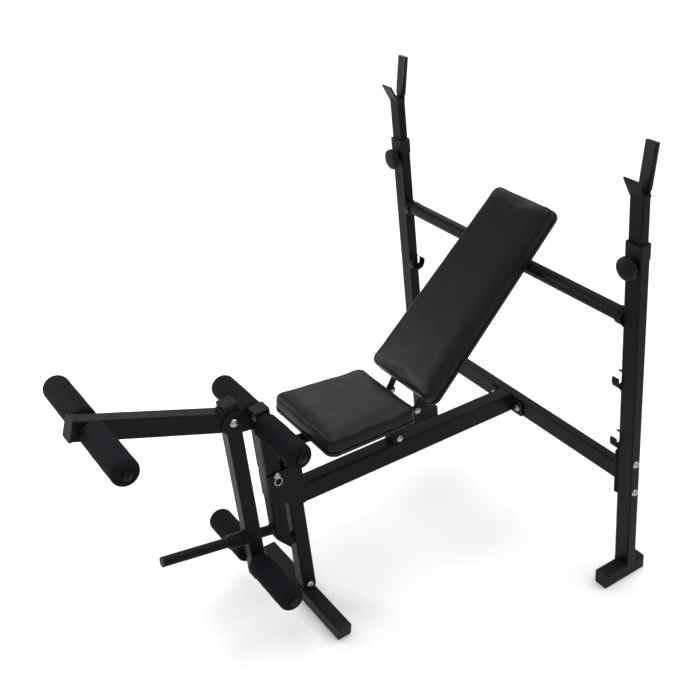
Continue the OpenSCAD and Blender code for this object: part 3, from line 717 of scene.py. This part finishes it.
class BENCH_OT_frame_paint(bpy.types.Operator):
    """Powder coats every tube, plate and bracket"""
    bl_idname = "bench.frame_paint"
    bl_label = "Frame paint"

    def execute(self, context):
        dress([n for n in NODES if material_slot(n) == "frame_paint"], paint())
        return {"FINISHED"}


class BENCH_OT_plastics(bpy.types.Operator):
    """Gives the plugs, collars, knobs, guards and bearing their plastics"""
    bl_idname = "bench.plastics"
    bl_label = "Plastic parts"

    def execute(self, context):
        colours = context.scene.bench_finishes
        caps = moulded("Plug plastic", tuple(colours.plastic), 0.46)
        knobs = moulded("Knob plastic", tuple(colours.knob), 0.45, 0.1)
        nylon = moulded("Nylon", tuple(colours.nylon), 0.4)
        sleeve = glossy_sleeve(tuple(colours.guard))
        for node in NODES:
            kind = material_slot(node)
            if "guard" in node:
                dress([node], sleeve)
            elif kind == "plastic":
                dress([node], caps)
            elif kind == "knob_plastic":
                dress([node], knobs)
            elif kind == "bush_plastic":
                dress([node], nylon)
        return {"FINISHED"}


class BENCH_OT_fasteners(bpy.types.Operator):
    """Plates the bolts, rods, pins and screws"""
    bl_idname = "bench.fasteners"
    bl_label = "Plated fasteners"

    def execute(self, context):
        dress([n for n in NODES if material_slot(n) == "zinc"], zinc())
        return {"FINISHED"}


class BENCH_OT_boards(bpy.types.Operator):
    """Stains the board under the backrest"""
    bl_idname = "bench.boards"
    bl_label = "Backrest board"

    def execute(self, context):
        board = stained_board(tuple(context.scene.bench_finishes.board))
        dress([n for n in NODES if material_slot(n) == "board"], board)
        return {"FINISHED"}


class BENCH_OT_seat(bpy.types.Operator):
    """Upholsters the seat"""
    bl_idname = "bench.seat"
    bl_label = "Seat pad"

    def execute(self, context):
        plan = upholster("seat_cushion", "seat_pad", "frame")
        under_hem("seat", plan, "frame")
        return {"FINISHED"}


class BENCH_OT_backrest(bpy.types.Operator):
    """Upholsters the backrest"""
    bl_idname = "bench.backrest"
    bl_label = "Backrest pad"

    def execute(self, context):
        plan = upholster("back_cushion", "back_pad", "backrest")
        under_hem("back", plan, "backrest")
        return {"FINISHED"}


class BENCH_OT_rollers(bpy.types.Operator):
    """Turns the six foam rollers"""
    bl_idname = "bench.rollers"
    bl_label = "Foam rollers"

    def execute(self, context):
        for place in ("arm", "knee", "ankle"):
            for side in SIDES:
                roller(f"{place}_roll_{side}", f"{place}_foam_{side}", f"{place}_roller_{side}")
        return {"FINISHED"}


class BENCH_OT_welds(bpy.types.Operator):
    """Lays weld beads where tubes and plates meet"""
    bl_idname = "bench.welds"
    bl_label = "Weld beads"

    def execute(self, context):
        w = context.scene.bench_sizes.weld
        for side, s in SIDES.items():
            low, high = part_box(f"{side}_upright")
            base = Vector(((low.x + high.x) / 2, (low.y + high.y) / 2, low.z + w * 0.3))
            size = (high.x - low.x - 0.003, high.y - low.y + 0.002)
            bead(f"foot_weld_{side}", rectangle(base, X, Y, *size), "frame")
            inner = high.x if s < 0 else low.x
            self.cross_weld(side, s)
            self.saddle_welds(side, inner)
            self.cradle_weld(side)
        low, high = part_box("lever_post")
        front = low.y - 0.0006
        near = [v.co.z for v in NODES["lever_arm"].data.vertices if v.co.y > low.y - 0.004]
        middle = Vector((0, front, (min(near) + max(near)) / 2))
        bead("arm_weld", rectangle(middle, X, Z, 0.039, max(near) - min(near) + 0.001), "lever")
        self.peg_weld(low.y)
        self.beam_weld(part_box("front_leg")[1].y)
        return {"FINISHED"}

    def cross_weld(self, side, s):
        """Round the cross member's end, on its end plate."""
        mesh = NODES["cross_member"].data
        low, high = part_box("cross_member")
        plate_face = high.x - 0.0055
        tops = [v.co for v in mesh.vertices if 0.35 < abs(v.co.x) < plate_face]
        top = max(p.z for p in tops)
        bottom = min(p.z for p in tops)
        depth = max(p.y for p in tops) - min(p.y for p in tops)
        end = Vector((s * (high.x - 0.0065), (low.y + high.y) / 2, (top + bottom) / 2))
        bead(f"cross_weld_{side}", rectangle(end, Y, Z, depth + 0.001, top - bottom + 0.001), "frame")

    def saddle_welds(self, side, inner):
        """Along each saddle's back, where it meets its upright."""
        low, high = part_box(f"{side}_saddles")
        heights = sorted({round(v.co.z, 4) for v in NODES[f"{side}_saddles"].data.vertices})
        groups = [[heights[0]]]
        for z in heights[1:]:
            if z - groups[-1][-1] > 0.05:
                groups.append([z])
            groups[-1].append(z)
        middle = (low.y + high.y) / 2
        radius = (high.y - low.y) / 2
        for i, group in enumerate(groups):
            centre = Vector((inner, middle, group[0] + radius))
            turns = [math.radians(180 + 180 * k / 40) for k in range(41)]
            arc = [centre + Vector((0, radius * math.cos(t), radius * math.sin(t))) for t in turns]
            arc = [p for p in arc if abs(p.y - middle) < 0.0145]
            bead(f"saddle_weld_{side}_{i}", arc, "frame", closed=False)

    def cradle_weld(self, side):
        """Round the inner tube's top, under the cradle."""
        low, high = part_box(f"{side}_slide_tube")
        middle = Vector(((low.x + high.x) / 2, (low.y + high.y) / 2, high.z - 0.0004))
        size = (high.x - low.x - 0.001, high.y - low.y + 0.001)
        bead(f"cradle_weld_{side}", rectangle(middle, X, Y, *size), f"{side}_slide")

    def peg_weld(self, front):
        """Round the peg's collar, on the lever post's front face."""
        near = [v.co for v in NODES["weight_peg"].data.vertices if abs(v.co.y - front) < 0.0008]
        top = max(p.z for p in near)
        bottom = min(p.z for p in near)
        wide = max(p.x for p in near)
        centre = Vector((0, front - 0.0006, (top + bottom) / 2))
        turns = [2 * math.pi * k / 110 for k in range(110)]
        ring = [centre + Vector((wide * math.cos(t), 0, (top - bottom) / 2 * math.sin(t))) for t in turns]
        bead("peg_weld", ring, "lever")

    def beam_weld(self, back):
        """Across the beam's end, on the front leg's rear face."""
        mesh = NODES["main_beam"].data
        near = [v.co for v in mesh.vertices if abs(v.co.y - back) < 0.001]
        top = max(p.z for p in near)
        bottom = min(p.z for p in near)
        centre = Vector((0, back + 0.001, (top + bottom) / 2))
        bead("beam_weld", rectangle(centre, X, Z, 0.0405, top - bottom + 0.001), "frame")


class BENCH_OT_stage(bpy.types.Operator):
    """Sets the floor, the lights and the camera"""
    bl_idname = "bench.stage"
    bl_label = "Studio"

    def execute(self, context):
        stage = context.scene.bench_stage
        bm = bmesh.new()
        bmesh.ops.create_grid(bm, x_segments=8, y_segments=8, size=9)
        mesh = bpy.data.meshes.new("studio_floor")
        bm.to_mesh(mesh)
        bm.free()
        mesh.materials.append(studio_floor(tuple(stage.floor)))
        floor = bpy.data.objects.new("studio_floor", mesh)
        floor.location.z = CAD_BOX[0][2] - 0.0004
        context.scene.collection.objects.link(floor)
        self.surround(stage.sky)
        self.area("key_light", (-2.3, 1.4, 2.1), (0.0, 0.1, 0.5), 1.7, stage.key)
        self.area("front_light", (-1.6, -1.1, 1.3), (0.0, 0.3, 0.5), 1.0, stage.front)
        self.area("edge_light", (2.3, -1.1, 1.9), (0.0, 0.3, 0.6), 0.6, stage.rim)
        self.overhead(stage.sun)
        self.camera(stage)
        context.scene.view_settings.view_transform = "Standard"
        return {"FINISHED"}

    def surround(self, strength):
        world = bpy.data.worlds.new("Studio surround")
        world.use_nodes = True
        world.node_tree.nodes["Background"].inputs[0].default_value = (1, 1, 1, 1)
        world.node_tree.nodes["Background"].inputs[1].default_value = strength
        bpy.context.scene.world = world

    def area(self, name, at, aim, size, power):
        light = bpy.data.lights.new(name, "AREA")
        light.shape = "DISK"
        light.size = size
        light.energy = power
        lamp = bpy.data.objects.new(name, light)
        lamp.location = at
        lamp.rotation_euler = (Vector(aim) - Vector(at)).to_track_quat("-Z", "Y").to_euler()
        bpy.context.scene.collection.objects.link(lamp)

    def overhead(self, strength):
        light = bpy.data.lights.new("overhead", "SUN")
        light.energy = strength
        light.angle = math.radians(64)
        lamp = bpy.data.objects.new("overhead", light)
        lamp.rotation_euler = Vector((-0.1, -0.28, -1.0)).to_track_quat("-Z", "Y").to_euler()
        bpy.context.scene.collection.objects.link(lamp)

    def camera(self, stage):
        a, e, r = stage.azimuth, stage.elevation, stage.roll
        ahead = Vector((-math.sin(a) * math.cos(e), math.cos(a) * math.cos(e), -math.sin(e)))
        level = Vector((math.cos(a), math.sin(a), 0))
        rise = level.cross(ahead)
        right = level * math.cos(r) + rise * math.sin(r)
        up = rise * math.cos(r) - level * math.sin(r)
        data = bpy.data.cameras.new("Camera")
        data.lens = stage.lens
        data.sensor_width = 36
        data.clip_end = 50
        camera = bpy.data.objects.new("Camera", data)
        turn = Matrix((right, up, -ahead)).transposed()
        camera.matrix_world = Matrix.Translation(Vector(stage.eye)) @ turn.to_4x4()
        bpy.context.scene.collection.objects.link(camera)
        bpy.context.scene.camera = camera


class BENCH_PT_panel(bpy.types.Panel):
    """Lists the bench's pieces, sizes and colours"""
    bl_idname = "BENCH_PT_panel"
    bl_label = "Weight bench"
    bl_space_type = "VIEW_3D"
    bl_region_type = "UI"
    bl_category = "Bench"

    def draw(self, context):
        layout = self.layout
        for step in STEPS:
            layout.operator(step.bl_idname)
        for group in ("bench_finishes", "bench_sizes", "bench_stage"):
            values = getattr(context.scene, group)
            box = layout.box()
            for key in values.__annotations__:
                box.prop(values, key)


GROUPS = {"bench_finishes": BenchFinishes, "bench_sizes": BenchSizes, "bench_stage": BenchStage}
STEPS = (BENCH_OT_frame_paint, BENCH_OT_plastics, BENCH_OT_fasteners, BENCH_OT_boards,
         BENCH_OT_seat, BENCH_OT_backrest, BENCH_OT_rollers, BENCH_OT_welds, BENCH_OT_stage)


def register():
    for group in GROUPS.values():
        bpy.utils.register_class(group)
    for step in (*STEPS, BENCH_PT_panel):
        bpy.utils.register_class(step)
    for key, group in GROUPS.items():
        setattr(bpy.types.Scene, key, PointerProperty(type=group))


def unregister():
    for key in GROUPS:
        delattr(bpy.types.Scene, key)
    for step in (BENCH_PT_panel, *reversed(STEPS)):
        bpy.utils.unregister_class(step)
    for group in GROUPS.values():
        bpy.utils.unregister_class(group)


def corners(bounds):
    return [[float(c) for c in corner] for corner in bounds]


def main():
    register()
    for step in STEPS:
        family, name = step.bl_idname.split(".")
        getattr(getattr(bpy.ops, family), name)()


if __name__ == "__main__":
    main()
